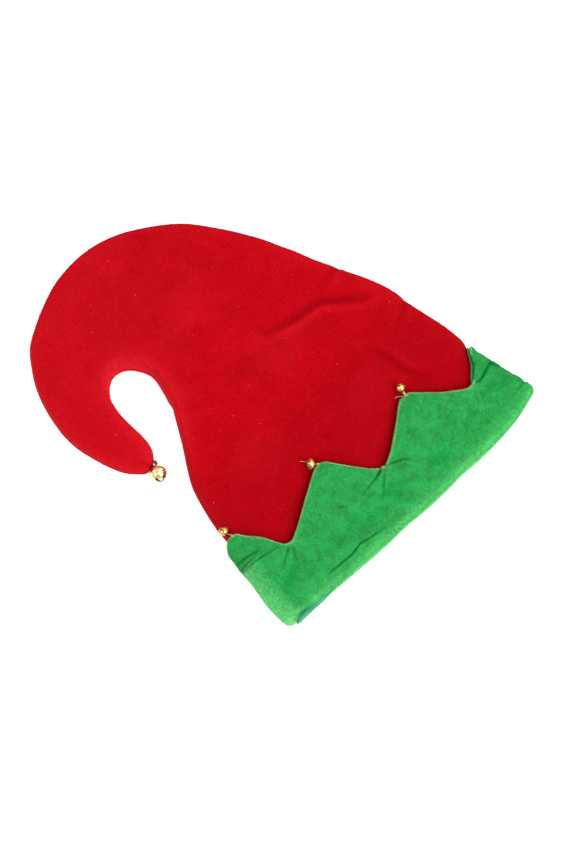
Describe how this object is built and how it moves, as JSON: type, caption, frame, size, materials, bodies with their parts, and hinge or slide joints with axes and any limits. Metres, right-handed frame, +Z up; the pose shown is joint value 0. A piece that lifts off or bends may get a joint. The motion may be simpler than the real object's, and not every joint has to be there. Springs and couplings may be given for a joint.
{
  "type": "elf hat",
  "caption": "Long curled velvet elf hat lying flat, with a turned-up zigzag cuff and small jingle bells on its points and tip.",
  "frame": {"origin": "on the surface that the hat lies on, under the middle of its box", "axes": "+Z up from the surface, -Y out of the mouth, +X along the rim to the outer edge of the crown"},
  "size_m": [0.3218, 0.3788, 0.0345],
  "materials": {
    "velvet_red": "short-pile velvet, soft sheen",
    "velvet_green": "mottled crushed velvet, soft sheen",
    "facing_teal": "thin woven facing",
    "bell_gold": "bright gold plate",
    "pellet_steel": "plain steel"
  },
  "bodies": {
    "root": {"crown_upper_panel": "velvet_red", "bend_upper_panel": "velvet_red", "curl_upper_panel": "velvet_red", "crown_lower_panel": "velvet_red", "bend_lower_panel": "velvet_red", "curl_lower_panel": "velvet_red", "cuff_band": "velvet_green", "point_facing": "facing_teal", "mouth_facing": "facing_teal", "bell_upper_left": "bell_gold", "bell_upper_middle": "bell_gold", "bell_upper_right": "bell_gold", "bell_lower_right": "bell_gold", "bell_lower_middle": "bell_gold", "bell_lower_left": "bell_gold", "bell_tip": "bell_gold", "pellet_upper_left": "pellet_steel", "pellet_upper_middle": "pellet_steel", "pellet_upper_right": "pellet_steel", "pellet_lower_right": "pellet_steel", "pellet_lower_middle": "pellet_steel", "pellet_lower_left": "pellet_steel", "pellet_tip": "pellet_steel"}
  },
  "joints": []
}
